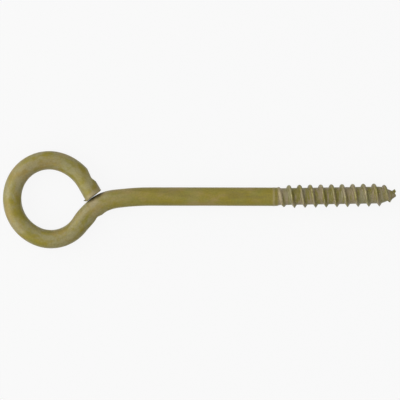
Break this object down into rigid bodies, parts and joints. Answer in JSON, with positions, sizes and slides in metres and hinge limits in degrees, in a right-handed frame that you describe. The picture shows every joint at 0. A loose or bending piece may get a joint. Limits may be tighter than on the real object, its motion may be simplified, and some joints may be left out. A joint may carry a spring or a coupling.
{
  "type": "eye lag bolt",
  "caption": "Round steel wire bent into an open eye on a long straight shank, ending in a coarse right-handed wood thread with a blunt point.",
  "frame": {"origin": "middle of the eye's opening, on the wire's mid-plane", "axes": "+X along the shank towards the point, +Z square to the eye's plane, +Y in that plane on the side of the eye's free end; the bolt lies flat on -Z"},
  "size_m": [0.1343, 0.0333, 0.008],
  "materials": {
    "yellow_zinc": "satin yellow chromate over zinc plate, blotchy olive to pale tan, duller and greyer on the thread"
  },
  "bodies": {
    "root": {"eye_lag_bolt": "yellow_zinc"}
  },
  "joints": []
}
